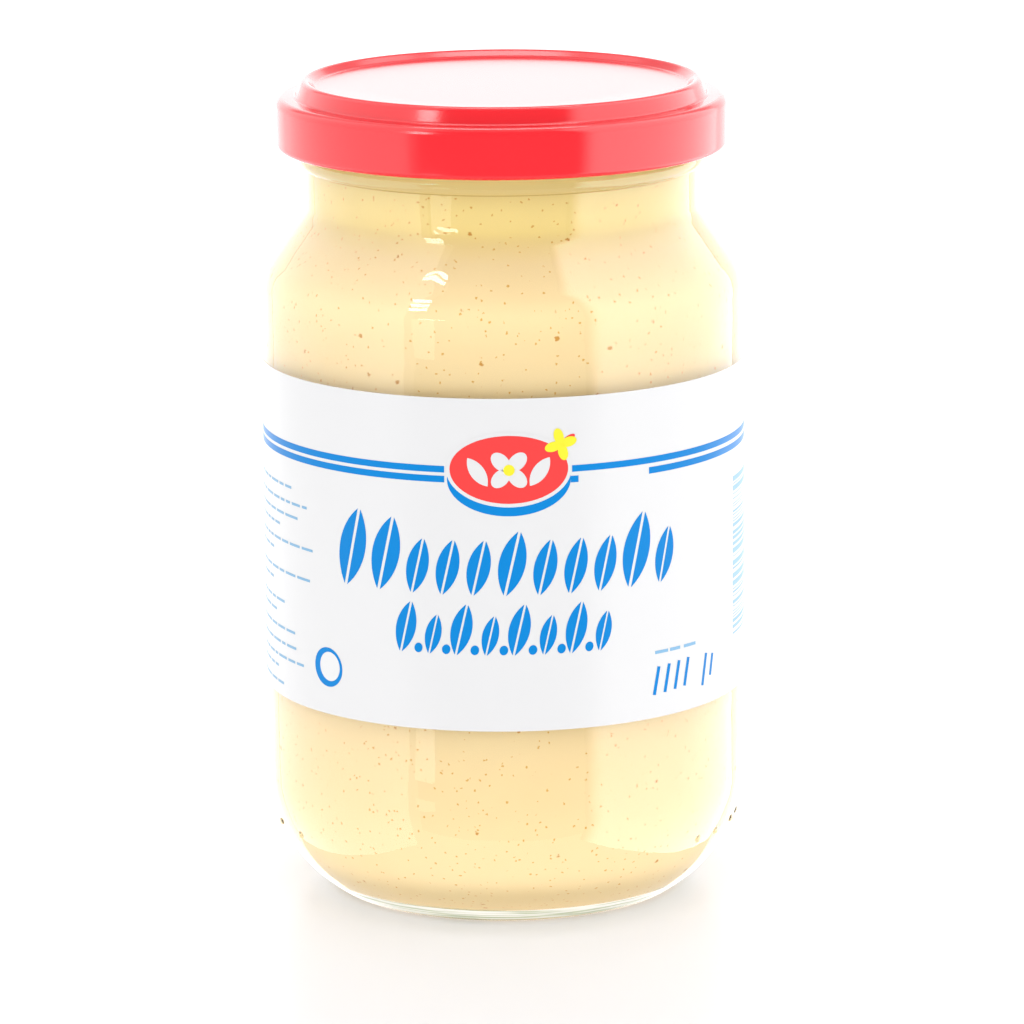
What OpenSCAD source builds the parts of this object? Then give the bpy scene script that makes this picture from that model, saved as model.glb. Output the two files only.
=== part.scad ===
// Mustard jar: round glass jar with a filled body, a paper wrap label and a pressed metal lid.
// Millimetres. Z is up, Z = 0 is the plane the jar stands on, the jar's axis is X = Y = 0.

/* [Overall] */
// Height of the glass, from the standing plane to the rim
jar_height = 124.45; // [104:0.05:150]
// Outside diameter of the straight body
body_diameter = 74; // [66:0.5:90]

/* [Glass body] */
// Thickness of the side wall
wall = 2.7; // [2.2:0.1:3.2]
// Height of the inside floor above the standing plane
floor_height = 5.5; // [4:0.1:8]
// Radius of the large curve from the body down to the foot
heel_radius = 21; // [18.6:0.1:24]
// Height at which the heel curve meets the straight body
heel_height = 18; // [15:0.1:18.8]
// Radius of the small bearing ring the jar stands on
foot_radius = 1.2; // [0.8:0.1:2]
// Radius of the inside corner between floor and wall
inner_heel_radius = 13; // [8:0.5:16]
// Width of the flat that the bearing ring stands on
foot_flat = 0.8; // [0.5:0.1:1.1]
// Rise of the hollow under the base, above the bearing ring
push_up = 1.4; // [0.6:0.1:2]

/* [Glass shoulder and neck] */
// Radius of the curve from the body into the shoulder
shoulder_radius = 8.5; // [5:0.5:12]
// Angle of the shoulder cone from the vertical
shoulder_angle = 36; // [30:1:44]
// Radius of the hollow curve from the shoulder into the neck
neck_curve_radius = 3; // [1.5:0.5:5]
// Outside diameter of the neck
neck_diameter = 60.2; // [56:0.1:61]
// Distance from the rim down to where the neck starts
neck_depth = 17.8; // [15:0.1:22]
// Outside diameter over the bead below the lid
bead_diameter = 62.2; // [61.2:0.1:64]
// Radius of the bead's round section
bead_radius = 1.5; // [1.1:0.1:2]
// Distance from the rim down to the middle of the bead
bead_depth = 10.65; // [10:0.05:13]
// Outside diameter of the glass inside the lid
finish_diameter = 60.6; // [59.4:0.1:60.8]

/* [Mustard] */
// Free height between the mustard and the rim
headspace = 7.45; // [3:0.05:9]

/* [Label] */
// Height of the label's lower edge above the standing plane
label_bottom = 32.5; // [20:0.5:36]
// Height of the label
label_height = 50.8; // [20:0.1:54]
// Thickness of the paper
label_thickness = 0.12; // [0.08:0.01:0.2]
// Width of the glued lap where the label's ends meet
label_lap = 9; // [5:0.5:15]

/* [Lid] */
// Outside diameter of the lid's skirt
lid_diameter = 69; // [67.6:0.1:72]
// Height of the lid, from the rolled edge to the top of its ring
lid_height = 10.35; // [9.6:0.05:11.4]
// Thickness of the sheet
sheet = 0.3; // [0.2:0.05:0.35]
// Radius of the rounded shoulder at the top of the skirt
lid_shoulder_radius = 1.3; // [0.8:0.1:1.8]
// Depth of the ledge below the top of the ring
ledge_drop = 2.5; // [2:0.1:3]
// Diameter along the top of the raised ring
ring_diameter = 59.8; // [58.8:0.1:60.2]
// Radius of the raised ring's round top
ring_radius = 0.9; // [0.7:0.05:1]
// Depth of the flat centre panel below the top of the ring
panel_drop = 1; // [0.8:0.05:1.2]
// Radius of the rolled lower edge
curl_radius = 0.95; // [0.7:0.05:1.2]

/* [Mould marks] */
// Radius of the raised dots near the foot
dot_radius = 0.8; // [0.5:0.1:1]
// How far a dot stands out of the glass
dot_proud = 0.35; // [0.2:0.05:0.45]
// Height of the dots above the standing plane
dot_height = 11; // [9:0.5:14]

/* [Hidden] */
$fn = 180;
e = 0.01;
body_r = body_diameter / 2;
neck_r = neck_diameter / 2;
bead_r = bead_diameter / 2;
finish_r = finish_diameter / 2;
rim_z = jar_height;
bead_z = rim_z - bead_depth;
neck_z = rim_z - neck_depth;
fill_z = rim_z - headspace;
// Heel: the centre of the large arc, the centre of the bearing ring, and the point where they meet.
heel_x = body_r - heel_radius;
foot_z = sqrt(pow(foot_radius, 2) - pow(foot_flat / 2, 2));
foot_x = heel_x + sqrt(pow(heel_radius - foot_radius, 2) - pow(heel_height - foot_z, 2));
heel_end = [heel_x + (foot_x - heel_x) * heel_radius / (heel_radius - foot_radius),
            heel_height - (heel_height - foot_z) * heel_radius / (heel_radius - foot_radius)];
under_z = foot_radius * 0.5;
under_r = foot_x - foot_radius * 0.6;
dome_r = (under_r * under_r + push_up * push_up) / (2 * push_up);
// Shoulder: a convex arc, a straight cone and a hollow arc that ends in the neck.
cone_r0 = body_r - shoulder_radius + shoulder_radius * cos(shoulder_angle);
cone_r1 = neck_r + neck_curve_radius - neck_curve_radius * cos(shoulder_angle);
cone_len = (cone_r0 - cone_r1) / sin(shoulder_angle);
cone_z1 = neck_z - neck_curve_radius * sin(shoulder_angle);
cone_z0 = cone_z1 - cone_len * cos(shoulder_angle);
shoulder_z = cone_z0 - shoulder_radius * sin(shoulder_angle);
label_top = min(label_bottom + label_height, shoulder_z - 1);
label_r = body_r + label_thickness;
// Lid.
lid_r = lid_diameter / 2;
ring_r = ring_diameter / 2;
panel_z = rim_z + sheet;
ring_z = panel_z + panel_drop;
ring_c = ring_z - ring_radius;
ledge_z = ring_z - ledge_drop;
curl_z = ring_z - lid_height + curl_radius;
curl_x = lid_r - curl_radius;

// A slice of a disc from angle a0 to angle a1, with a true arc as its edge.
module slice(x, z, r, a0, a1) {
    intersection() {
        translate([x, z]) circle(r);
        polygon([[x, z],
                 [x + 3 * r * cos(a0), z + 3 * r * sin(a0)],
                 [x + 3 * r * cos((a0 + a1) / 2), z + 3 * r * sin((a0 + a1) / 2)],
                 [x + 3 * r * cos(a1), z + 3 * r * sin(a1)]]);
    }
}

module box2(x0, z0, x1, z1) {
    translate([x0, z0]) square([x1 - x0, z1 - z0]);
}

// The shoulder and neck in half section, set in from the outside by d.
module shoulder_section(d, top) {
    r = shoulder_radius - d;
    q = neck_curve_radius + d;
    c = shoulder_angle;
    cx = body_r - shoulder_radius;
    nx = neck_r + neck_curve_radius;
    slice(cx, shoulder_z, r, -2, c + 5);
    difference() {
        polygon([[0, shoulder_z], [cx, shoulder_z],
                 [cx + r * cos(c), shoulder_z + r * sin(c)],
                 [nx - q * cos(c), neck_z - q * sin(c)],
                 [nx, neck_z], [0, neck_z]]);
        translate([nx, neck_z]) circle(q);
    }
    box2(0, neck_z - e, neck_r - d, top);
}

module outside_section() {
    heel_a = atan2(heel_end[1] - heel_height, heel_end[0] - heel_x);
    slice(heel_x, heel_height, heel_radius, heel_a, 0);
    intersection() {
        translate([foot_x, foot_z]) circle(foot_radius);
        box2(0, 0, body_r, heel_height);
    }
    polygon([[0, under_z], [foot_x, under_z], heel_end, [heel_x + heel_radius / 2, heel_height], [0, heel_height]]);
    box2(0, heel_height, body_r, shoulder_z);
    shoulder_section(0, bead_z);
    intersection() {
        translate([bead_r - bead_radius, bead_z]) circle(bead_radius);
        box2(0, bead_z - 2 * bead_radius, body_r, rim_z);
    }
    box2(0, bead_z - e, finish_r, rim_z - 0.8);
    box2(0, rim_z - 1.6, finish_r - 0.8, rim_z);
    translate([finish_r - 0.8, rim_z - 0.8]) circle(0.8);
}

module inside_section(top) {
    r = inner_heel_radius;
    x = body_r - wall - r;
    box2(0, floor_height, x, floor_height + r);
    slice(x, floor_height + r, r, -90, 0);
    box2(0, floor_height + r, body_r - wall, shoulder_z);
    shoulder_section(wall, top);
}

// Each ball lies with its poles level, so that it fuses cleanly with the heel.
module dots() {
    k = asin((dot_height - heel_height) / heel_radius);
    rr = heel_radius - dot_radius + dot_proud;
    for (a = [-76, -62, 55, 64, 76, 84])
        rotate([0, 0, a - 90])
            translate([heel_x + rr * cos(k), 0, heel_height + rr * sin(k)])
                rotate([90, 0, 0]) sphere(dot_radius);
}

module glass() {
    color([0.93, 0.97, 0.94, 0.35]) {
        difference() {
            union() {
                rotate_extrude() outside_section();
                dots();
            }
            rotate_extrude() inside_section(rim_z + 1);
            rotate_extrude() intersection() {
                translate([0, under_z + push_up - dome_r]) circle(dome_r);
                box2(0, -1, under_r, push_up + 2);
            }
        }
    }
}

module mustard() {
    color([0.93, 0.78, 0.42]) rotate_extrude() inside_section(fill_z);
}

module lid_section(d) {
    s = ring_radius - d;
    lo = 20;
    hi = 130;
    r0 = ring_r + s * cos(lo);
    z0 = ring_c + s * sin(lo);
    r1 = ring_r + s * cos(hi);
    z1 = ring_c + s * sin(hi);
    pz = panel_z - d;
    lz = ledge_z - d;
    box2(0, curl_z, lid_r - d, ledge_z - lid_shoulder_radius);
    translate([lid_r - lid_shoulder_radius, ledge_z - lid_shoulder_radius])
        circle(lid_shoulder_radius - d);
    box2(0, curl_z, lid_r - lid_shoulder_radius, lz);
    translate([ring_r, ring_c]) circle(s);
    polygon([[0, lz - e], [r0 + (z0 - lz) / tan(70), lz - e], [r0 + (z0 - lz) / tan(70), lz], [r0, z0],
             [ring_r, ring_c], [r1, z1], [r1 - (z1 - pz) / tan(40), pz], [0, pz]]);
}

module lid() {
    color([0.78, 0.02, 0.04]) rotate_extrude() {
        difference() {
            lid_section(0);
            difference() {
                lid_section(sheet);
                box2(0, curl_z - 1, lid_r + 1, curl_z - e);
            }
            box2(-1, curl_z - 1, lid_r - sheet, curl_z + e);
        }
        difference() {
            translate([curl_x, curl_z]) circle(curl_radius);
            translate([curl_x, curl_z]) circle(curl_radius - sheet);
            box2(curl_x - 2 * curl_radius, curl_z + curl_radius * 0.35, lid_r - sheet, curl_z + 2 * curl_radius);
        }
    }
}

module label() {
    lap_a = label_lap / label_r * 180 / PI;
    color([0.96, 0.97, 0.98]) union() {
        rotate_extrude() box2(body_r, label_bottom, label_r, label_top);
        rotate([0, 0, 90]) rotate_extrude(angle = lap_a)
            box2(label_r - label_thickness / 2, label_bottom, label_r + label_thickness, label_top);
    }
}

glass();
mustard();
lid();
label();
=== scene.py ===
import math
import random

import bpy
from mathutils import Matrix, Vector


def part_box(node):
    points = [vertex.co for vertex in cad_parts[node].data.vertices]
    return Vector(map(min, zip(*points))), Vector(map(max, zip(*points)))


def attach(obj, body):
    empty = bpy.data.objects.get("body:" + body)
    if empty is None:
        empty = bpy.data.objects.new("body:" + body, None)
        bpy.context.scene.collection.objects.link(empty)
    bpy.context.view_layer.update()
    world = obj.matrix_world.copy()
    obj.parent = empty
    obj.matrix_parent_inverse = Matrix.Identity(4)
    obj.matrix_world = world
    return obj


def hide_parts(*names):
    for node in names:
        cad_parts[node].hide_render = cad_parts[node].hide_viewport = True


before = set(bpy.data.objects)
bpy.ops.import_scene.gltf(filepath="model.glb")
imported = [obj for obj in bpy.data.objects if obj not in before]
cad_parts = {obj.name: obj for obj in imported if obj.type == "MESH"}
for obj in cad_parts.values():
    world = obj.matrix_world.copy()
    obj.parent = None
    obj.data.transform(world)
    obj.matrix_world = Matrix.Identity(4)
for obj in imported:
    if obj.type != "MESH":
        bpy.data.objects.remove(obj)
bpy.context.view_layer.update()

# ---------------------------------------------------------------- glass jar
# A blown and pressed jar of clear glass: a thick floor with a hollow underneath, a large heel
# curve, a straight body, a sloping shoulder, a short neck and a bead below the lid. Six small
# mould dots stand out near the foot. Sizes are in millimetres and turned into metres here.
MM = 0.001
glass_low, glass_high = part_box("glass")
rim_z = glass_high[2] / MM
body_r = (glass_high[0] - glass_low[0]) / 2 / MM
wall = 2.7
floor_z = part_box("mustard")[0][2] / MM
heel_r, heel_z = 21.0, 18.0
foot_r, foot_flat = 1.2, 0.8
under_z, push_up = 0.6, 1.4
inner_heel_r = 13.0
shoulder_r, shoulder_deg = 8.5, 36.0
neck_r, neck_curve, neck_z = 30.1, 3.0, rim_z - 17.8
bead_r, bead_round, bead_z = 31.1, 1.5, rim_z - 10.65
finish_r, rim_round = 30.3, 0.8


def arc(x, z, r, start, end, parts):
    """Points along a round stretch of an outline, from one angle to another in degrees."""
    turn = [math.radians(start + (end - start) * k / parts) for k in range(parts + 1)]
    return [(x + r * math.cos(a), z + r * math.sin(a)) for a in turn]


def turned(name, outline, steps):
    """Draws an outline by extruding one point along it, then spins it round the jar's axis."""
    bpy.ops.object.select_all(action="DESELECT")
    bpy.ops.mesh.primitive_plane_add(size=MM)
    piece = bpy.context.object
    piece.name = name
    bpy.ops.object.mode_set(mode="EDIT")
    bpy.ops.mesh.select_all(action="SELECT")
    bpy.ops.mesh.merge(type="CENTER")
    x, z = outline[0]
    bpy.ops.transform.translate(value=(x * MM, 0, z * MM))
    for a, b in zip(outline, outline[1:]):
        step = ((b[0] - a[0]) * MM, 0, (b[1] - a[1]) * MM)
        bpy.ops.mesh.extrude_region_move(TRANSFORM_OT_translate={"value": step})
    bpy.ops.mesh.select_all(action="SELECT")
    bpy.ops.mesh.spin(steps=steps, angle=math.tau, center=(0, 0, 0), axis=(0, 0, 1))
    bpy.ops.mesh.select_all(action="SELECT")
    bpy.ops.mesh.remove_doubles(threshold=0.002 * MM)
    bpy.ops.mesh.normals_make_consistent(inside=False)
    bpy.ops.object.mode_set(mode="OBJECT")
    bpy.ops.object.shade_smooth_by_angle(angle=math.radians(35))
    return piece


def shoulder(d):
    """The outline from the straight body over the shoulder into the neck, set in by d."""
    c = math.radians(shoulder_deg)
    cx, nx = body_r - shoulder_r, neck_r + neck_curve
    run = (cx + shoulder_r * math.cos(c) - (nx - neck_curve * math.cos(c))) / math.sin(c)
    z = neck_z - neck_curve * math.sin(c) - run * math.cos(c) - shoulder_r * math.sin(c)
    low = arc(cx, z, shoulder_r - d, 0, shoulder_deg, 12)
    high = arc(nx, neck_z, neck_curve + d, 180 + shoulder_deg, 180, 8)
    return low + high


def bore(d):
    """The inside of the jar from the middle of its floor to the neck, grown by d."""
    r = inner_heel_r + d
    x = body_r - wall - inner_heel_r
    return ([(0, floor_z - d)] + arc(x, floor_z + inner_heel_r, r, -90, 0, 20)
            + shoulder(wall - d))


heel_x = body_r - heel_r
foot_z = math.sqrt(foot_r ** 2 - (foot_flat / 2) ** 2)
foot_x = heel_x + math.sqrt((heel_r - foot_r) ** 2 - (heel_z - foot_z) ** 2)
heel_deg = math.degrees(math.atan2(foot_z - heel_z, foot_x - heel_x))
foot_share = 0.6
under_r = foot_x - foot_share * foot_r
dome_r = (under_r ** 2 + push_up ** 2) / (2 * push_up)
flat_deg = math.degrees(math.asin(foot_flat / 2 / foot_r))
dome_z = under_z + push_up - dome_r
dome = [(x, dome_z + math.sqrt(dome_r ** 2 - x ** 2)) for x in (under_r * k / 8 for k in range(9))]
inner_deg = math.degrees(math.acos(-foot_share))
outline = dome + arc(foot_x, foot_z, foot_r, 360 - inner_deg, 270 - flat_deg, 3)
outline += arc(foot_x, foot_z, foot_r, 270 + flat_deg, 360 + heel_deg, 3)
band_z = 2.75
band_deg = -math.degrees(math.asin((heel_z - band_z) / heel_r))
outline += arc(heel_x, heel_z, heel_r, heel_deg, band_deg, 5)[1:]
outline += arc(heel_x, heel_z, heel_r, band_deg, 0, 28)[1:]
outline += shoulder(0)
lower = math.degrees(math.acos((neck_r - bead_r + bead_round) / bead_round))
upper = math.degrees(math.acos((finish_r - bead_r + bead_round) / bead_round))
outline += arc(bead_r - bead_round, bead_z, bead_round, -lower, upper, 14)
outline += arc(finish_r - rim_round, rim_z - rim_round, rim_round, 0, 90, 6)
outline += arc(neck_r - wall + 0.5, rim_z - 0.5, 0.5, 90, 180, 4)
outline += list(reversed(bore(0)))
jar = turned("jar_glass", outline, steps=180)

# The mould dots are small balls sunk in the heel and made one with the glass.
dot_r, dot_proud, dot_z = 0.8, 0.35, 11.0
lean = math.asin((dot_z - heel_z) / heel_r)
reach = heel_r - dot_r + dot_proud
for turn in (-76, -62, 55, 64, 76, 84):
    a = math.radians(turn - 90)
    r = heel_x + reach * math.cos(lean)
    spot = (r * math.cos(a) * MM, r * math.sin(a) * MM, (heel_z + reach * math.sin(lean)) * MM)
    bpy.ops.object.select_all(action="DESELECT")
    bpy.ops.mesh.primitive_uv_sphere_add(segments=20, ring_count=12, radius=dot_r * MM, location=spot)
    dot = bpy.context.object
    bpy.ops.object.transform_apply(location=True, rotation=True, scale=True)
    bpy.context.view_layer.objects.active = jar
    join = jar.modifiers.new("dot", "BOOLEAN")
    join.operation = "UNION"
    join.object = dot
    bpy.ops.object.modifier_apply(modifier=join.name)
    bpy.data.objects.remove(dot)
bpy.ops.object.select_all(action="DESELECT")
jar.select_set(True)
bpy.context.view_layer.objects.active = jar
bpy.ops.object.shade_smooth_by_angle(angle=math.radians(35))


def surface(name, color, roughness):
    """A material with one principled shader, and that shader."""
    material = bpy.data.materials.new(name)
    material.use_nodes = True
    shader = material.node_tree.nodes["Principled BSDF"]
    shader.inputs["Base Color"].default_value = (*color, 1)
    shader.inputs["Roughness"].default_value = roughness
    return material, shader


clear, shader = surface("clear_glass", (0.985, 1.0, 0.985), 0.0)
shader.inputs["Transmission Weight"].default_value = 1.0
shader.inputs["IOR"].default_value = 1.5
# Blown glass is never quite even: low waves a centimetre apart.
nodes, links = clear.node_tree.nodes, clear.node_tree.links
place = nodes.new("ShaderNodeTexCoord")
waves = nodes.new("ShaderNodeTexNoise")
waves.inputs["Scale"].default_value = 95
waves.inputs["Detail"].default_value = 1.5
links.new(place.outputs["Object"], waves.inputs["Vector"])
uneven = nodes.new("ShaderNodeBump")
uneven.inputs["Strength"].default_value = 1.0
uneven.inputs["Distance"].default_value = 0.00016
links.new(waves.outputs["Fac"], uneven.inputs["Height"])
links.new(uneven.outputs["Normal"], shader.inputs["Normal"])
jar.data.materials.append(clear)

# The lowest ring of the glass, where the jar stands, is stippled and carries painted light: a pale
# painted glow that makes it look white, streaky painted glints, and painted golden-brown shade at its
# edges.
stipple_and_painted_glow, shader = surface("stippled_painted_glow_glass", (0.9, 0.92, 0.88), 0.25)
shader.inputs["Transmission Weight"].default_value = 0.25
shader.inputs["IOR"].default_value = 1.5
nodes, links = stipple_and_painted_glow.node_tree.nodes, stipple_and_painted_glow.node_tree.links
place = nodes.new("ShaderNodeTexCoord")
squash = nodes.new("ShaderNodeMapping")
squash.inputs["Scale"].default_value = (70, 70, 2600)
# Painted glints: noise drawn out round the jar gives streaky olive and white marks.
painted_glint_streaks = nodes.new("ShaderNodeTexNoise")
painted_glint_streaks.inputs["Scale"].default_value = 1
painted_glint_streaks.inputs["Detail"].default_value = 2
links.new(place.outputs["Object"], squash.inputs["Vector"])
links.new(squash.outputs["Vector"], painted_glint_streaks.inputs["Vector"])
ramp = nodes.new("ShaderNodeValToRGB")
ramp.color_ramp.elements[0].position, ramp.color_ramp.elements[0].color = 0.40, (0.50, 0.58, 0.42, 1)
ramp.color_ramp.elements[1].position, ramp.color_ramp.elements[1].color = 0.53, (1, 1, 1, 1)
links.new(painted_glint_streaks.outputs["Fac"], ramp.inputs["Fac"])
split = nodes.new("ShaderNodeSeparateXYZ")
links.new(place.outputs["Object"], split.inputs["Vector"])
level = nodes.new("ShaderNodeMapRange")
level.inputs["From Max"].default_value = band_z * MM
links.new(split.outputs["Z"], level.inputs["Value"])
# Painted light and shade by height: golden-brown at the foot and the top edge, a pale painted glow between.
painted_band_light = nodes.new("ShaderNodeValToRGB")
painted_band_light.color_ramp.elements[0].position, painted_band_light.color_ramp.elements[0].color = 0.08, (0.36, 0.26, 0.11, 1)
painted_band_light.color_ramp.elements[1].position, painted_band_light.color_ramp.elements[1].color = 1.0, (0.62, 0.38, 0.12, 1)
painted_band_light.color_ramp.elements.new(0.22).color = (0.50, 0.52, 0.46, 1)
painted_band_light.color_ramp.elements.new(0.60).color = (0.62, 0.63, 0.63, 1)
painted_band_light.color_ramp.elements.new(0.92).color = (0.63, 0.64, 0.635, 1)
links.new(level.outputs["Result"], painted_band_light.inputs["Fac"])
tint = nodes.new("ShaderNodeMix")
tint.data_type, tint.blend_type = "RGBA", "MULTIPLY"
tint.inputs["Factor"].default_value = 1.0
sides = [i for i in tint.inputs if i.type == "RGBA"]
links.new(ramp.outputs["Color"], sides[0])
links.new(painted_band_light.outputs["Color"], sides[1])
links.new([o for o in tint.outputs if o.type == "RGBA"][0], shader.inputs["Base Color"])
jar.data.materials.append(stipple_and_painted_glow)
for face in jar.data.polygons:
    low = face.center.z < band_z * MM
    if low and face.center.x ** 2 + face.center.y ** 2 > (foot_x * MM) ** 2:
        face.material_index = 1

# Painted shade: the glass just below the bead is tinted brown into a fine dark line, where the corner
# between bead and neck shows dark.
crease_low, crease_high = 1.45, 1.13
crease_shade, shader = surface("crease_shade_glass", (0.60, 0.50, 0.27), 0.0)
shader.inputs["Transmission Weight"].default_value = 1.0
shader.inputs["IOR"].default_value = 1.5
jar.data.materials.append(crease_shade)
for face in jar.data.polygons:
    outside = face.center.x ** 2 + face.center.y ** 2 > (neck_r * MM) ** 2
    if outside and crease_high < bead_z - face.center.z / MM < crease_low:
        face.material_index = 2
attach(jar, "root")
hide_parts("glass")

# ---------------------------------------------------------------- mustard
# Smooth pale mustard that fills the jar to just under the lid. It reaches a little way into the
# wall, so that it looks wetted to the glass. Ground seed shows in it as fine brown specks.
wetting = 0.15
fill_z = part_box("mustard")[1][2] / MM
outline = bore(wetting) + [(neck_r - wall + wetting, fill_z), (0, fill_z)]
fill = turned("mustard_fill", outline, steps=128)
pale_paste, deep_paste, neck_shade_paste = (0.95, 0.775, 0.465), (0.94, 0.73, 0.41), (0.97, 0.79, 0.34)
fine_seed, coarse_seed = (0.77, 0.45, 0.11), (0.66, 0.33, 0.07)
cream, shader = surface("mustard_paste", pale_paste, 0.9)
shader.inputs["Specular IOR Level"].default_value = 0.0
nodes, links = cream.node_tree.nodes, cream.node_tree.links
place = nodes.new("ShaderNodeTexCoord")
height = nodes.new("ShaderNodeSeparateXYZ")
links.new(place.outputs["Object"], height.inputs["Vector"])
seed_top = bead_z - 2.0


def specks(cell_mm, radius_mm, seed):
    """A mask that is 1 in small uneven grains strewn through the paste and 0 between them. There
    are none above seed_top, where the bead would draw them out into dashes."""
    move = nodes.new("ShaderNodeMapping")
    move.inputs["Location"].default_value = (seed, seed * 0.7, seed * 0.3)
    grains = nodes.new("ShaderNodeTexVoronoi")
    grains.inputs["Scale"].default_value = 1000 / cell_mm
    rough = nodes.new("ShaderNodeTexNoise")
    rough.inputs["Scale"].default_value = 2200
    links.new(place.outputs["Object"], rough.inputs["Vector"])
    push = nodes.new("ShaderNodeVectorMath")
    push.operation = "MULTIPLY_ADD"
    push.inputs[1].default_value = (0.0006, 0.0006, 0.0006)
    links.new(rough.outputs["Color"], push.inputs[0])
    links.new(place.outputs["Object"], push.inputs[2])
    links.new(push.outputs["Vector"], move.inputs["Vector"])
    links.new(move.outputs["Vector"], grains.inputs["Vector"])
    edge = nodes.new("ShaderNodeMapRange")
    edge.inputs["From Min"].default_value = radius_mm / cell_mm * 1.15
    edge.inputs["From Max"].default_value = radius_mm / cell_mm * 0.7
    links.new(grains.outputs["Distance"], edge.inputs["Value"])
    below = nodes.new("ShaderNodeMath")
    below.operation = "LESS_THAN"
    below.inputs[1].default_value = seed_top * MM
    links.new(height.outputs["Z"], below.inputs[0])
    both = nodes.new("ShaderNodeMath")
    both.operation = "MULTIPLY"
    links.new(edge.outputs["Result"], both.inputs[0])
    links.new(below.outputs["Value"], both.inputs[1])
    return both.outputs["Value"]


def blend(first, second, factor):
    """Mixes two colours by a mask; a colour is a tuple or another node's output."""
    mix = nodes.new("ShaderNodeMix")
    mix.data_type = "RGBA"
    links.new(factor, mix.inputs["Factor"])
    for name, value in (("A", first), ("B", second)):
        socket = [i for i in mix.inputs if i.name == name and i.type == "RGBA"][0]
        if isinstance(value, tuple):
            socket.default_value = (*value, 1)
        else:
            links.new(value, socket)
    return [o for o in mix.outputs if o.type == "RGBA"][0]


cloud = nodes.new("ShaderNodeTexNoise")
cloud.inputs["Scale"].default_value = 70
cloud.inputs["Detail"].default_value = 3
links.new(place.outputs["Object"], cloud.inputs["Vector"])
tone = blend(pale_paste, deep_paste, cloud.outputs["Fac"])
# Up in the neck the paste is painted a brighter, deeper golden: painted light and shade for how the neck
# under the lid is lit.
neck = nodes.new("ShaderNodeMapRange")
neck.inputs["From Min"].default_value = (neck_z - 5) * MM
neck.inputs["From Max"].default_value = neck_z * MM
links.new(height.outputs["Z"], neck.inputs["Value"])
tone = blend(tone, neck_shade_paste, neck.outputs["Result"])
tone = blend(tone, fine_seed, specks(1.2, 0.18, 0.31))
tone = blend(tone, coarse_seed, specks(5.0, 0.38, 0.57))
links.new(tone, shader.inputs["Base Color"])
fill.data.materials.append(cream)
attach(fill, "root")
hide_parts("mustard")

# ---------------------------------------------------------------- lid
# A twist-off lid pressed from thin sheet and lacquered red. A sunk flat panel sits inside a
# raised ring, a ledge and a round shoulder lead to the skirt, and the lower edge is rolled in.
lid_low, lid_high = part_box("lid")
lid_r = (lid_high[0] - lid_low[0]) / 2 / MM
ring_z = lid_high[2] / MM
sheet = 0.3
panel_z = rim_z + sheet
ring_r, ring_round = 29.9, 0.9
ledge_z = ring_z - 2.5
corner = 1.3
curl_r = 0.95
curl_z = lid_low[2] / MM + curl_r
crown = ring_z - ring_round


def slope_foot(r, z, level, degrees):
    """The radius at which a straight slope from a point comes down to a level."""
    return r + (z - level) / math.tan(math.radians(degrees))


slope_in, slope_out = 40, 70
top_in = arc(ring_r, crown, ring_round, 90 + slope_in, 90 - slope_out, 14)
foot_in = slope_foot(*top_in[0], panel_z, -slope_in)
foot_out = slope_foot(*top_in[-1], ledge_z, slope_out)
hollow, fillet = 1.0, 0.5
hollow_x = foot_in - hollow * math.tan(math.radians(slope_in / 2))
fillet_x = foot_out + fillet * math.tan(math.radians(slope_out / 2))
outline = [(0, panel_z), (10, panel_z), (20, panel_z)]
outline += arc(hollow_x, panel_z + hollow, hollow, -90, slope_in - 90, 5) + top_in
outline += arc(fillet_x, ledge_z + fillet, fillet, 270 - slope_out, 270, 6)
outline += arc(lid_r - corner, ledge_z - corner, corner, 90, 0, 12)
outline += arc(lid_r - curl_r, curl_z, curl_r, 0, -250, 24)
outline += arc(lid_r - curl_r, curl_z, curl_r - sheet, -250, 0, 18)
outline += arc(lid_r - corner, ledge_z - corner, corner - sheet, 0, 90, 8)
under = arc(ring_r, crown, ring_round - sheet, 90 - slope_out, 90 + slope_in, 10)
outline += [(slope_foot(*under[0], ledge_z - sheet, slope_out), ledge_z - sheet)] + under
outline += [(slope_foot(*under[-1], panel_z - sheet, -slope_in), panel_z - sheet), (0, panel_z - sheet)]
lid = turned("lid_shell", outline, steps=192)
lacquer = surface("red_lacquer", (0.60, 0.007, 0.014), 0.16)[0]
lid.data.materials.append(lacquer)
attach(lid, "root")
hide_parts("lid")

# ---------------------------------------------------------------- label
# A white coated paper wrap glued round the straight body, with its ends lapped at the back. The
# paper is one thin sheet, the lap a second layer of it.
label_low, label_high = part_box("label")
label_bottom, label_top = label_low[2] / MM, label_high[2] / MM
paper_r, lap_r, lap_width = body_r + 0.05, body_r + 0.13, 9.0
paper_white = (0.478, 0.48, 0.49)
outline = [(body_r + 0.005, label_bottom), (paper_r, label_bottom), (paper_r, label_top),
           (body_r + 0.005, label_top), (body_r + 0.005, label_bottom)]
label = turned("label_paper", outline, steps=256)
stock, shader = surface("label_stock", paper_white, 0.3)
shader.inputs["Specular IOR Level"].default_value = 0.3
label.data.materials.append(stock)
inside = surface("label_back", (0.9, 0.9, 0.9), 0.8)[0]
label.data.materials.append(inside)
for face in label.data.polygons:
    if face.normal.x * face.center.x + face.normal.y * face.center.y < 0:
        face.material_index = 1
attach(label, "root")
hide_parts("label")


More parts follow.
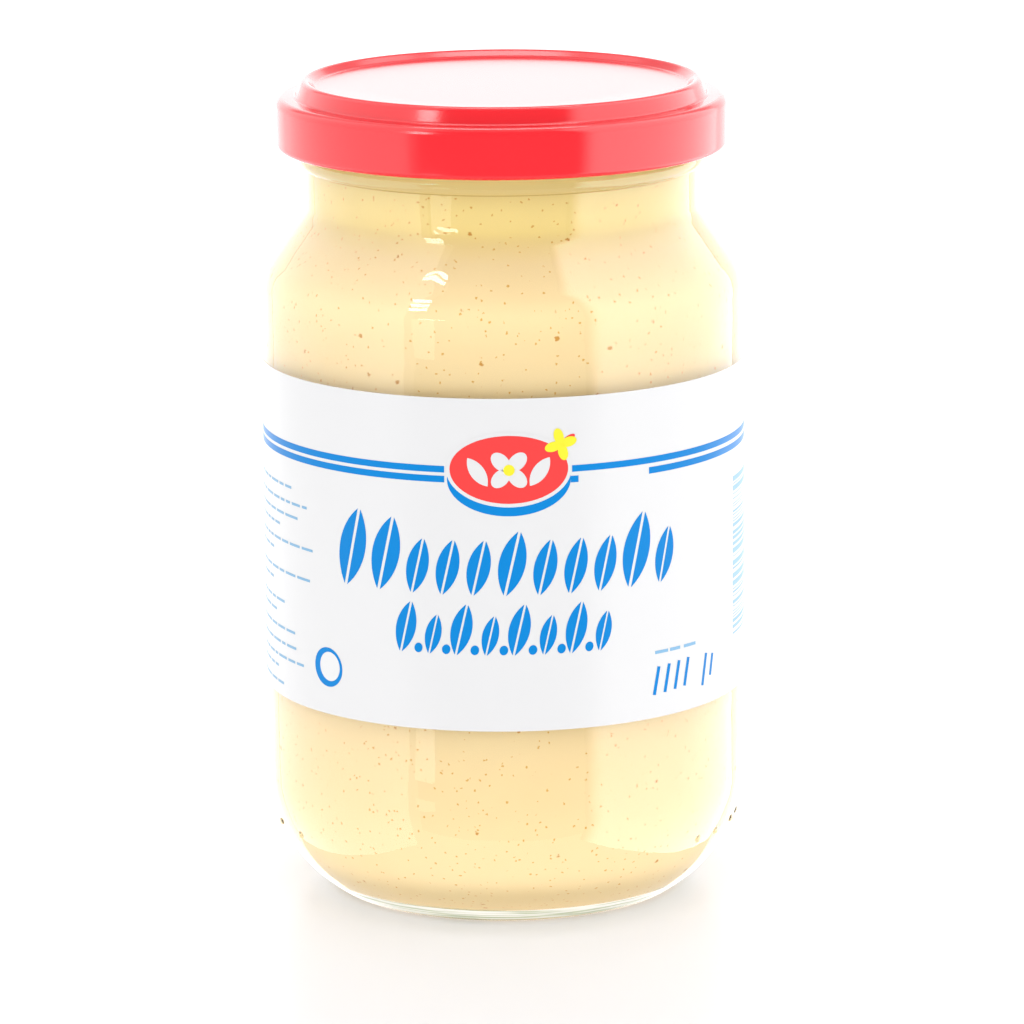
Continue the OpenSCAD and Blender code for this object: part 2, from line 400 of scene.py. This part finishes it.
def wrap(name, pieces, radius, material):
    """Joins flat pieces that stand in the plane facing front, cuts them into narrow strips from
    left to right, bends them round the jar and gives them one material."""
    bpy.ops.object.select_all(action="DESELECT")
    for piece in pieces:
        piece.select_set(True)
    bpy.context.view_layer.objects.active = pieces[0]
    bpy.ops.object.transform_apply(location=True, rotation=True, scale=True)
    if len(pieces) > 1:
        bpy.ops.object.join()
    band = bpy.context.object
    band.name = name
    left = min(v.co.x for v in band.data.vertices)
    right = max(v.co.x for v in band.data.vertices)
    bpy.ops.object.mode_set(mode="EDIT")
    bpy.ops.mesh.select_all(action="SELECT")
    for k in range(math.ceil(left / MM / 1.5), math.floor(right / MM / 1.5) + 1):
        bpy.ops.mesh.bisect(plane_co=(k * 1.5 * MM, 0, 0), plane_no=(1, 0, 0))
        bpy.ops.mesh.select_all(action="SELECT")
    bpy.ops.object.mode_set(mode="OBJECT")
    bend = band.modifiers.new("bend", "SIMPLE_DEFORM")
    bend.deform_method = "BEND"
    bend.deform_axis = "Z"
    bend.angle = (right - left) / (radius * MM)
    bpy.ops.object.modifier_apply(modifier=bend.name)
    bpy.ops.object.mode_set(mode="EDIT")
    bpy.ops.mesh.select_all(action="SELECT")
    bpy.ops.transform.translate(value=(0, -radius * MM, 0))
    bpy.ops.object.mode_set(mode="OBJECT")
    bpy.ops.object.shade_smooth_by_angle(angle=math.radians(35))
    band.data.materials.clear()
    band.data.materials.append(material)
    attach(band, "root")
    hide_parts("label")
    return band


def bar(s, z, width, height, lean=0.0):
    """A flat bar, its middle s millimetres right of the front and z above the table."""
    bpy.ops.object.select_all(action="DESELECT")
    bpy.ops.mesh.primitive_plane_add(size=1, location=(s * MM, 0, z * MM),
                                     rotation=(math.pi / 2, math.radians(lean), 0))
    bpy.context.object.scale = (width * MM, height * MM, 1)
    return bpy.context.object


def oval(s, z, width, height, lean=0.0):
    """A flat oval, placed like a bar."""
    bpy.ops.object.select_all(action="DESELECT")
    bpy.ops.mesh.primitive_circle_add(vertices=64, radius=0.5, fill_type="NGON",
                                      location=(s * MM, 0, z * MM),
                                      rotation=(math.pi / 2, math.radians(lean), 0))
    bpy.context.object.scale = (width * MM, height * MM, 1)
    return bpy.context.object


def half_leaf(height, bulge, gap):
    """One half of a leaf: a straight edge along the vein and a round edge to its right."""
    bpy.ops.object.select_all(action="DESELECT")
    bpy.ops.mesh.primitive_plane_add(size=MM)
    half = bpy.context.object
    radius = (height ** 2 / 4 + bulge ** 2) / (2 * bulge)
    bpy.ops.object.mode_set(mode="EDIT")
    bpy.ops.mesh.select_all(action="SELECT")
    bpy.ops.mesh.merge(type="CENTER")
    bpy.ops.transform.translate(value=(gap * MM, 0, -height / 2 * MM))
    bpy.ops.mesh.spin(steps=16, angle=2 * math.asin(height / 2 / radius),
                      center=((gap + bulge - radius) * MM, 0, 0), axis=(0, 1, 0))
    bpy.ops.mesh.select_all(action="SELECT")
    bpy.ops.mesh.remove_doubles(threshold=0.002 * MM)
    bpy.ops.mesh.select_all(action="SELECT")
    bpy.ops.mesh.edge_face_add()
    bpy.ops.mesh.flip_normals()
    bpy.ops.object.mode_set(mode="OBJECT")
    return half


def copy(piece, s, z, size=1.0, lean=0.0):
    """A copy of a flat piece with a mesh of its own."""
    bpy.ops.object.select_all(action="DESELECT")
    piece.select_set(True)
    bpy.context.view_layer.objects.active = piece
    bpy.ops.object.duplicate()
    twin = bpy.context.object
    twin.location = (s * MM, 0, z * MM)
    twin.rotation_euler = (0, math.radians(lean), 0)
    twin.scale = (size, size, size)
    return twin


# The lapped end of the paper: a strip nine millimetres wide at the back of the jar.
lap = bar(0, (label_bottom + label_top) / 2, lap_width, label_top - label_bottom)
lap = wrap("label_lap", [lap], lap_r, stock)
bpy.ops.object.select_all(action="DESELECT")
lap.select_set(True)
bpy.context.view_layer.objects.active = lap
bpy.ops.object.mode_set(mode="EDIT")
bpy.ops.mesh.select_all(action="SELECT")
bpy.ops.transform.rotate(value=math.pi + lap_width / 2 / body_r, orient_axis="Z", center_override=(0, 0, 0))
bpy.ops.object.mode_set(mode="OBJECT")

# ---------------------------------------------------------------- blue print
# Bright blue ink: a double stripe that runs round to both sides, the lower edge of the badge,
# and two rows of leaves across the front. The leaves stand where the label has its large print.
ink_r, layer = body_r + 0.07, 0.01
stripe_z, stripe, slant = 72.5, 1.0, 13
badge_s = 0.8
blue, shader = surface("blue_ink", (0.0, 0.15, 0.42), 0.3)
shader.inputs["Specular IOR Level"].default_value = 0.08
pieces = [bar(-61.15, stripe_z, 104.5, stripe), bar(-61.15, stripe_z - 1.5, 104.5, stripe),
          bar(61.85, stripe_z - 0.1, 103.1, stripe), bar(10.7, stripe_z - 1.7, 1.2, stripe),
          bar(68.3, stripe_z - 1.7, 90.2, stripe), oval(badge_s, stripe_z - 1.55, 18.6, 10.9)]
leaf_tall, leaf_rise = 10.0, 4.85
leaf = half_leaf(leaf_tall, 1.8, 0.2)
left_half = copy(leaf, 0, 0, 1.0, 180)
bpy.ops.object.select_all(action="DESELECT")
leaf.select_set(True)
left_half.select_set(True)
bpy.context.view_layer.objects.active = leaf
bpy.ops.object.join()
leaf.name = "leaf"
s, row_z = -27.2, 53.4
for tall in (1.22, 1.16, 0.86, 0.86, 0.86, 1.0, 0.86, 0.86, 0.86, 1.16, 0.86):
    pieces.append(copy(leaf, s + 2.2 * tall, row_z + leaf_rise * tall, tall, slant))
    s += 4.0 * tall + 1.27
row_z, pitch = 44.2, 4.35
for k in range(8):
    tall = (0.80, 0.62)[k % 2]
    pieces.append(copy(leaf, -15.2 + pitch * k, row_z + leaf_rise * tall, tall, slant))
for k in range(7):
    pieces.append(oval(-13.2 + pitch * k, row_z + 0.8, 1.3, 1.5, slant + 1))
pieces.append(oval(-29.9, 39.8, 6.1, 6.1))
wrap("print_blue", pieces, ink_r, blue)
bpy.data.objects.remove(leaf)

# ---------------------------------------------------------------- fine print
# Small print in a paler blue: rows of short bars on the left, and on the right a short line of bars,
# thin slanted strokes and a block of bars of mixed thickness that runs on round the side.
fine = surface("fine_ink", (0.10, 0.25, 0.40), 0.4)[0]
random.seed(7)
pieces = []
for right_end, level in (
        (-39.0, 66.0), (-34.6, 63.6), (-37.2, 61.5), (-43.5, 59.6), (-33.2, 57.2), (-46.5, 55.4),
        (-34.0, 52.4), (-47.0, 50.6), (-42.0, 47.6), (-45.5, 45.8), (-38.5, 43.4), (-38.2, 41.0),
        (-36.0, 38.8), (-45.0, 37.0), (-42.8, 34.6)):
    s = right_end
    while s > -58.0:
        width = random.uniform(1.2, 4.2)
        pieces.append(bar(s - width / 2, level, width, 0.42))
        s -= width + 0.55
for s, width in ((25.6, 2.6), (28.4, 2.2), (31.7, 2.8)):
    pieces.append(bar(s, 42.6, width, 0.5))
s = 41.2
while s < 66.0:
    thick = random.choice((0.14, 0.16, 0.3, 0.55, 0.8))
    pieces.append(bar(52.0, s + thick / 2, 13.0, thick))
    s += thick + random.choice((0.28, 0.4, 0.6))
wrap("print_fine", pieces, ink_r, fine)

# Thin slanted strokes of the bright blue stand below the short line of bars on the right.
stroke = 0.62
pieces = [bar(24.6 + 2.1 * k, 38.2 + 0.12 * k, stroke, 4.4, slant - 1) for k in range(4)]
pieces += [bar(35.4, 38.0, stroke, 5.0, slant - 1), bar(37.4, 38.4, stroke, 3.4, slant - 1)]
wrap("print_strokes", pieces, ink_r, blue)

# ---------------------------------------------------------------- badge
# An oval red badge with a white line round it, a white flower with two leaves in the middle and a
# small yellow blossom at its upper right edge. Each colour is a layer of ink on the one below.
ground = surface("white_ink", paper_white, 0.3)[0]
badge_z = 72.56
pieces = [oval(badge_s, badge_z, 18.9, 11.4), oval(-29.55, 39.95, 4.3, 4.5)]
wrap("print_white", pieces, ink_r + layer, ground)
red, shader = surface("red_ink", (0.56, 0.03, 0.03), 0.38)
shader.inputs["Specular IOR Level"].default_value = 0.2
pieces = [oval(badge_s, badge_z, 17.8, 10.3), oval(9.8, 77.0, 2.2, 0.9, -30)]
wrap("print_red", pieces, ink_r + 2 * layer, red)


def flower(s, z, reach, length, width, turn):
    """Four oval petals round a middle, the first of them turned from level by an angle."""
    turns = [math.radians(turn + 90 * k) for k in range(4)]
    return [oval(s + reach * math.cos(a), z + reach * math.sin(a), length, width, -math.degrees(a))
            for a in turns]


petals = flower(badge_s, stripe_z, 1.75, 3.4, 2.3, 45)
leaf = half_leaf(5.2, 1.1, 0.0)
twin = copy(leaf, 0, 0, 1.0, 180)
petals += [copy(leaf, 5.4, 72.2, 1.0, 35), copy(twin, 5.4, 72.2, 1.0, 215),
           copy(leaf, -3.9, 72.2, 1.0, -35), copy(twin, -3.9, 72.2, 1.0, 145)]
wrap("print_petals", petals, ink_r + 3 * layer, ground)
bpy.data.objects.remove(leaf)
bpy.data.objects.remove(twin)
yellow = surface("yellow_ink", (0.58, 0.52, 0.0), 0.38)[0]
blossom = flower(8.6, 76.2, 1.25, 2.5, 1.5, 15) + [oval(badge_s, stripe_z, 1.7, 1.7)]
wrap("print_yellow", blossom, ink_r + 4 * layer, yellow)

# ---------------------------------------------------------------- floor, light and camera
# A white studio: a glowing white table, and tall bright cards at both sides, behind and in front.
# Most cards come in pairs, one that lights the jar and one that shows only in its mirror images.
# The camera sees none of them, and it sees the table with a plainer glow than the jar does.
bpy.ops.object.select_all(action="DESELECT")
bpy.ops.mesh.primitive_plane_add(size=12, location=(0, 0, -0.00005))
table = bpy.context.object
table.name = "table"
table_white, shader = surface("table_white", (0.62, 0.62, 0.62), 0.4)
shader.inputs["Emission Color"].default_value = (1, 0.985, 0.96, 1)
shader.inputs["Emission Strength"].default_value = 1.25
nodes, links = table_white.node_tree.nodes, table_white.node_tree.links
seen = nodes.new("ShaderNodeBsdfPrincipled")
seen.inputs["Base Color"].default_value = (0.33, 0.36, 0.39, 1)
seen.inputs["Emission Color"].default_value = (0.45, 0.405, 0.38, 1)
seen.inputs["Emission Strength"].default_value = 1.0
seen.inputs["Roughness"].default_value = 0.28
seen.inputs["Specular IOR Level"].default_value = 0.1
path = nodes.new("ShaderNodeLightPath")
either = nodes.new("ShaderNodeMixShader")
links.new(path.outputs["Is Camera Ray"], either.inputs["Fac"])
links.new(shader.outputs["BSDF"], either.inputs[1])
links.new(seen.outputs["BSDF"], either.inputs[2])
links.new(either.outputs["Shader"], nodes["Material Output"].inputs["Surface"])
table.data.materials.append(table_white)
table.visible_glossy = False


def card(name, center, size, turn, glow, soft=0.0, mirror=None):
    """A glowing board out of the camera's sight. soft is the share of its width over which it
    fades in from its left end. mirror=True shows it only in mirror images, False never there."""
    bpy.ops.object.select_all(action="DESELECT")
    bpy.ops.mesh.primitive_plane_add(size=1, location=center, rotation=(math.pi / 2, 0, turn))
    board = bpy.context.object
    board.name = name
    board.scale = (size[0], size[1], 1)
    material, shader = surface(name + "_glow", (0, 0, 0), 1.0)
    shader.inputs["Emission Color"].default_value = (1, 1, 1, 1)
    shader.inputs["Emission Strength"].default_value = glow
    if soft:
        nodes, links = material.node_tree.nodes, material.node_tree.links
        place = nodes.new("ShaderNodeTexCoord")
        split = nodes.new("ShaderNodeSeparateXYZ")
        fade = nodes.new("ShaderNodeMapRange")
        fade.interpolation_type = "SMOOTHSTEP"
        fade.inputs["From Min"].default_value = -0.5
        fade.inputs["From Max"].default_value = soft - 0.5
        fade.inputs["To Max"].default_value = glow
        links.new(place.outputs["Object"], split.inputs["Vector"])
        links.new(split.outputs["X"], fade.inputs["Value"])
        links.new(fade.outputs["Result"], shader.inputs["Emission Strength"])
    board.data.materials.append(material)
    board.visible_camera = False
    if mirror is not None:
        board.visible_glossy = mirror
        board.visible_diffuse = not mirror
        board.visible_transmission = not mirror
    return board


card("right_mirror", (1.0, -0.02, 0.9), (2.5, 3.6), math.pi / 2, 3.85, 0.16, mirror=True)
card("right_light", (1.0, -0.02, 0.9), (2.44, 3.6), math.pi / 2, 1.1, mirror=False)
card("left_mirror", (-1.0, 0.15, 0.9), (2.16, 3.6), -math.pi / 2, 2.4, mirror=True)
card("left_light", (-1.0, 0.15, 0.9), (2.16, 3.6), -math.pi / 2, 0.92, mirror=False)
card("back_mirror", (0, 1.4, -0.1), (2.2, 1.7), 0, 2.25, mirror=True)
card("back_light", (0, 1.4, 0.4), (2.2, 2.6), 0, 2.5, mirror=False)
# A small pane over the lid is what its far rim mirrors.
rim_pane = card("rim_mirror", (0, 0.042, 0.33), (0.16, 0.06), 0, 7.5, mirror=True)
rim_pane.rotation_euler = (0, 0, 0)
rim_pane.visible_shadow = False
card("front_mirror", (0, -1.6, 1.15), (2.9, 4.1), 0, 0.38, mirror=True)
card("front_light", (0, -1.5, 1.3), (2.8, 2.6), 0, 1.7, mirror=False)
top = card("overhead", (0, -0.45, 2.4), (2.0, 1.2), 0, 4.0, mirror=False)
top.rotation_euler = (0, 0, 0)


def skin(z):
    """The radius of the jar and the lean of its surface at a height, above the heel."""
    if z < heel_z:
        lean = math.asin((z - heel_z) / heel_r)
        return heel_x + heel_r * math.cos(lean), lean
    if z > neck_z:
        return neck_r, 0.0
    if z < side_top:
        return body_r, 0.0
    lean = math.asin(min((z - side_top) / shoulder_r, math.sin(math.radians(shoulder_deg))))
    below = side_top + shoulder_r * math.sin(lean)
    return body_r - shoulder_r * (1 - math.cos(lean)) - (z - below) * math.tan(lean), lean


def mirrored(turn, z, away):
    """Where the line of sight to a spot on the jar goes after it is mirrored there."""
    r, lean = skin(z)
    a = math.radians(turn)
    out = Vector((math.cos(lean) * math.sin(a), -math.cos(lean) * math.cos(a), math.sin(lean)))
    spot = Vector((r * math.sin(a), -r * math.cos(a), z)) * MM
    look = (spot - Vector(eye)).normalized()
    return spot + (look - 2 * look.dot(out) * out) * away


def glint(name, left, right, low, high, glow, away=0.045):
    """A small pane that only mirrors in the glass, and there fills the patch from left to right,
    in degrees from the front, and from low to high, in millimetres."""
    middle = mirrored((left + right) / 2, (low + high) / 2, away)
    across = mirrored(right, (low + high) / 2, away) - mirrored(left, (low + high) / 2, away)
    up = mirrored((left + right) / 2, high, away) - mirrored((left + right) / 2, low, away)
    pane = card(name, (0, 0, 0), (1, 1), 0, glow, mirror=True)
    through = across.cross(up).normalized()
    turned_to = Matrix((across, up, through)).transposed().to_4x4()
    pane.matrix_world = Matrix.Translation(middle) @ turned_to
    pane.visible_shadow = False


tilt, distance, roll = math.radians(12.61), 0.925, math.radians(-0.405)
aim = (0.001205, 0, 0.05788)
eye = (aim[0], -distance * math.cos(tilt), aim[2] + distance * math.sin(tilt))
side_top = shoulder(0)[0][1]
# Short bright marks where the jar mirrors a lamp: on the neck, the cone, the curve below it, and
# as upright patches on the body above and below the label.
for k in range(2):
    glint("glint_neck_" + str(k), -19.5 + k, -13.5 + k, 108.5 + 0.6 * k, 108.8 + 0.6 * k, 9)
    glint("glint_cone_" + str(k), -20 + 0.5 * k, -14 + 0.5 * k, 98.8 + 0.62 * k, 99.2 + 0.62 * k, 14)
for k in range(3):
    glint("glint_curve_" + str(k), -22.5 + 0.4 * k, -17.5 + 0.4 * k, 96.1 + 0.6 * k,
          96.5 + 0.6 * k, 14, 0.12)
glint("glint_side", -21.3, -15.7, 92.8, 95.3, 1.9)
glint("glint_strip", -21.6, -16.6, 23.7, 32.4, 2.4)
glint("glint_foot", -21.6, -16.6, 19.2, 21.2, 1.6)

world = bpy.data.worlds.new("studio")
bpy.context.scene.world = world
world.use_nodes = True
world.node_tree.nodes["Background"].inputs["Color"].default_value = (1, 1, 1, 1)
world.node_tree.nodes["Background"].inputs["Strength"].default_value = 1.0

bpy.ops.object.camera_add(location=eye)
camera = bpy.context.object
camera.rotation_mode = "ZYX"
camera.rotation_euler = (math.pi / 2 - tilt, 0, roll)
camera.data.sensor_width = 36
camera.data.lens = 210.129
camera.data.clip_start = 0.05
bpy.context.scene.camera = camera
bpy.context.scene.view_settings.view_transform = "Standard"
